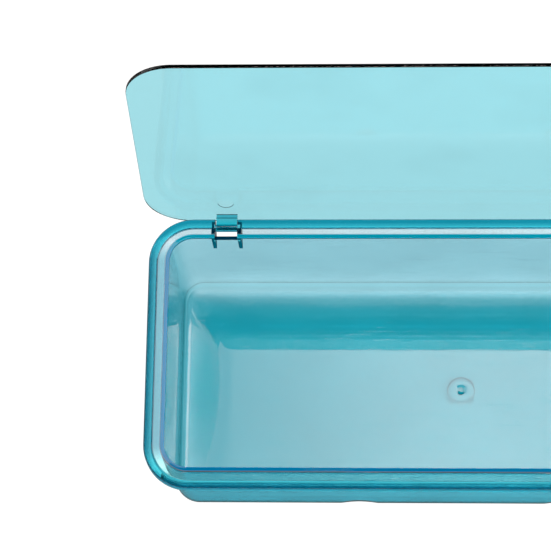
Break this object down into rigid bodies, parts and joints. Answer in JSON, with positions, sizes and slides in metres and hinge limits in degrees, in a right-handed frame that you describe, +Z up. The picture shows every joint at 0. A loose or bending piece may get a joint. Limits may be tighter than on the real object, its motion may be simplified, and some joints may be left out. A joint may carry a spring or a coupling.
{
  "type": "pencil case",
  "caption": "Clear teal plastic pencil case: a long open tray with a rounded rim and a flat lid that swings up on snap hinges at the back.",
  "frame": {"origin": "middle of the tray's flat underside, on the surface that it stands on", "axes": "+X along the case to the user's right, +Y towards the hinges at the back, +Z up"},
  "size_m": [0.208, 0.1142, 0.1332],
  "materials": {
    "tray_plastic": "clear teal moulded plastic, glossy",
    "lid_plastic": "clear teal moulded plastic, glossy, lightly scratched"
  },
  "bodies": {
    "root": {"tray": "tray_plastic", "hinge_pin_left": "tray_plastic", "hinge_pin_right": "tray_plastic"},
    "lid": {"lid": "lid_plastic", "hinge_clip_left": "lid_plastic", "hinge_clip_right": "lid_plastic"}
  },
  "joints": [
    {"name": "lid_hinge", "type": "hinge", "parent": "root", "child": "lid", "pos_m": [0, 0.0433, 0.0478], "axis": [1, 0, 0], "range_deg": [0, 103]}
  ]
}
